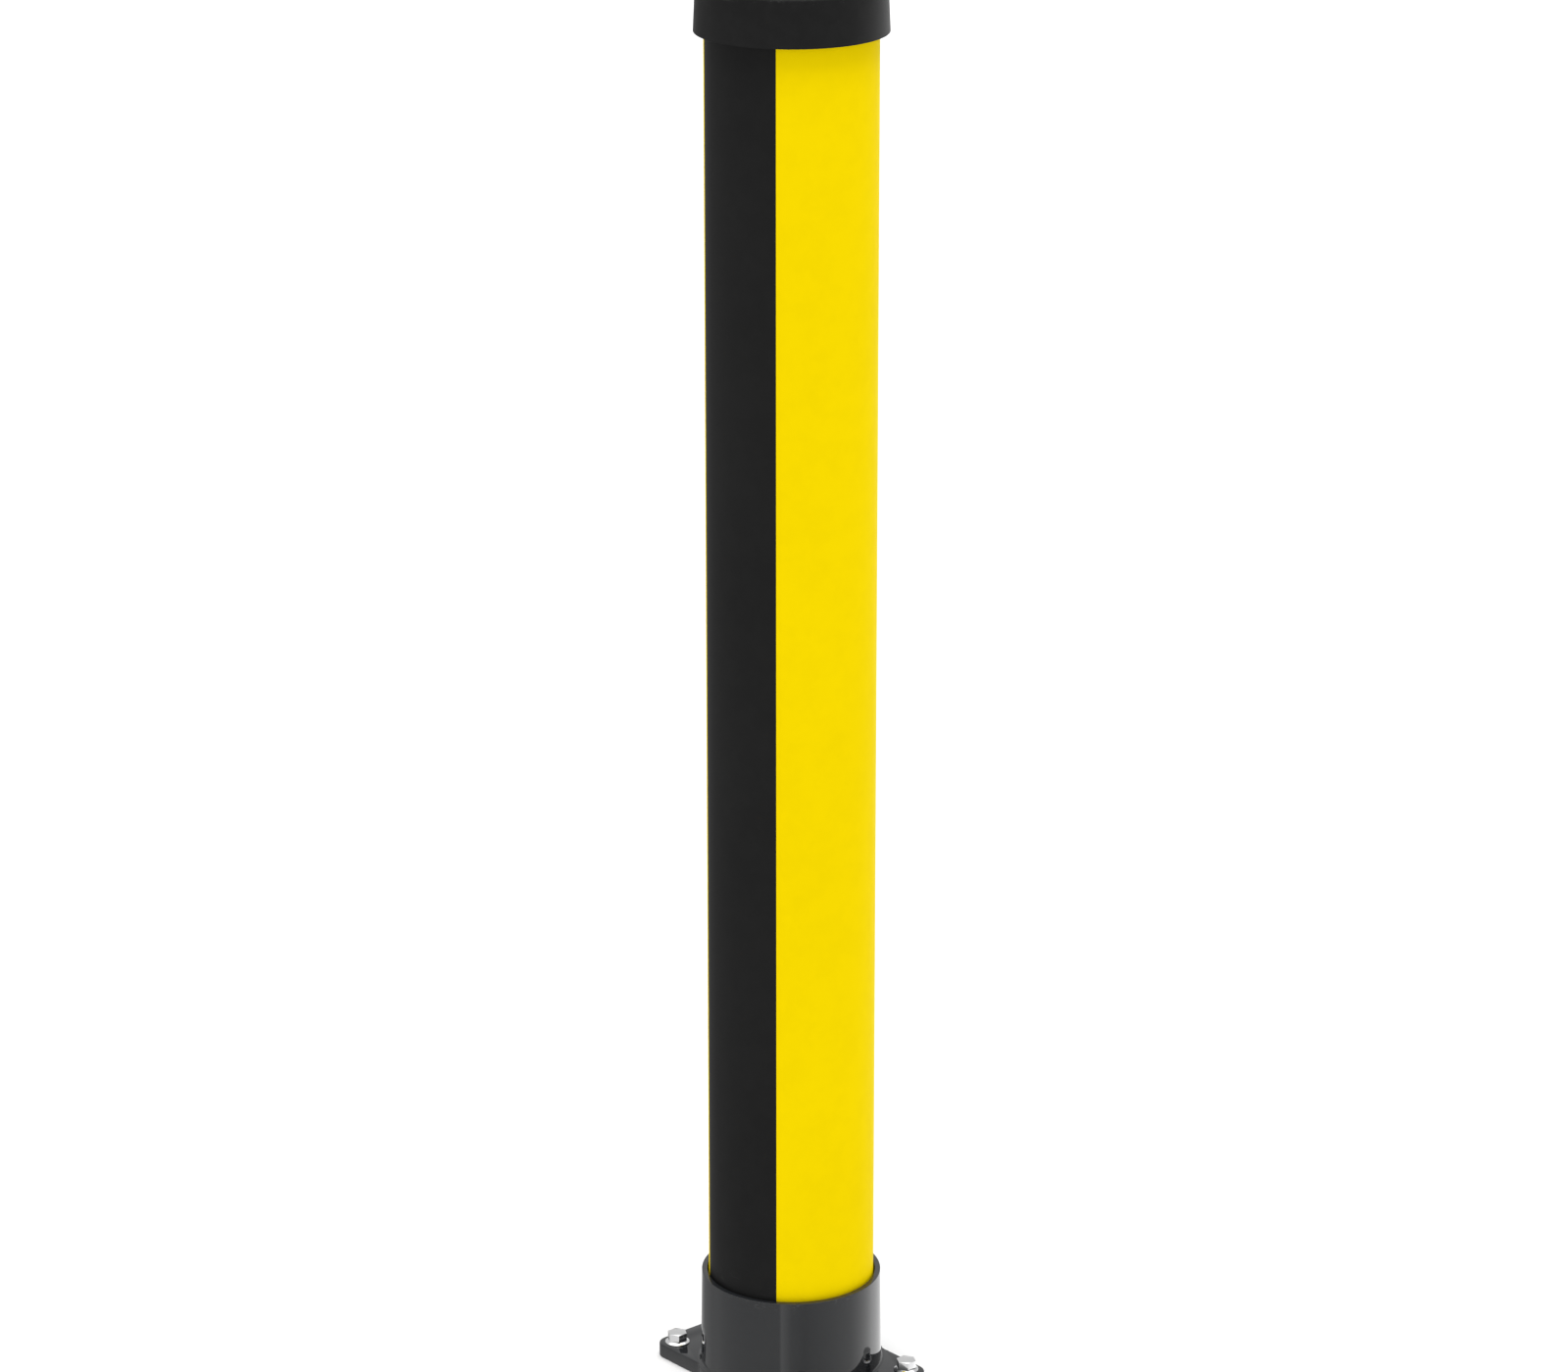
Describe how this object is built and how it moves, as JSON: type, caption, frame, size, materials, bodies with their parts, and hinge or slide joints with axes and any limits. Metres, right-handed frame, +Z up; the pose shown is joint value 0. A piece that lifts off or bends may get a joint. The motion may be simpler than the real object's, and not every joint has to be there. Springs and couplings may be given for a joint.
{
  "type": "safety bollard",
  "caption": "Upright round bollard: striped impact sleeve with a flat cap over a steel core, in a socket collar on a bolted steel foot plate, guarding walls and racks.",
  "frame": {"origin": "on the floor under the centre line of the post, at the underside of the foot plate", "axes": "+Z up along the post, +X along the long side of the foot plate, +Y along its short side"},
  "size_m": [0.2, 0.1616, 1.272],
  "materials": {
    "foot_paint": "satin anthracite powder coat",
    "core_steel": "zinc-rich primer over rolled steel",
    "zinc_steel": "bright zinc plate",
    "black_rubber": "moulded",
    "seat_plastic": "natural polyethylene",
    "yellow_plastic": "satin extruded yellow",
    "black_plastic": "satin extruded black",
    "cap_plastic": "fine moulded grain"
  },
  "bodies": {
    "base": {"base_plate": "foot_paint", "socket_collar": "foot_paint", "collar_weld": "foot_paint", "core_post": "core_steel", "core_foot_weld": "core_steel", "core_end_plate": "core_steel", "core_top_weld": "core_steel", "seat_ring": "seat_plastic", "lower_damper_ring": "black_rubber", "middle_damper_ring": "black_rubber", "upper_damper_ring": "black_rubber", "retaining_disc": "zinc_steel", "retaining_washer": "zinc_steel", "retaining_bolt": "zinc_steel", "anchor_screws": "zinc_steel"},
    "sleeve": {"sleeve_tube": "yellow_plastic", "sleeve_stop_ring": "core_steel", "front_black_stripe": "black_plastic", "rear_black_stripe": "black_plastic"},
    "cap": {"end_cap": "cap_plastic", "cap_spigot": "cap_plastic", "cap_seal": "black_rubber"}
  },
  "joints": [
    {"name": "sleeve_turn", "type": "hinge", "parent": "base", "child": "sleeve", "pos_m": [0, 0, 0.018], "axis": [0, 0, 1], "continuous": true},
    {"name": "cap_lift", "type": "slide", "parent": "sleeve", "child": "cap", "axis": [0, 0, 1], "range_m": [0, 0.05]}
  ]
}
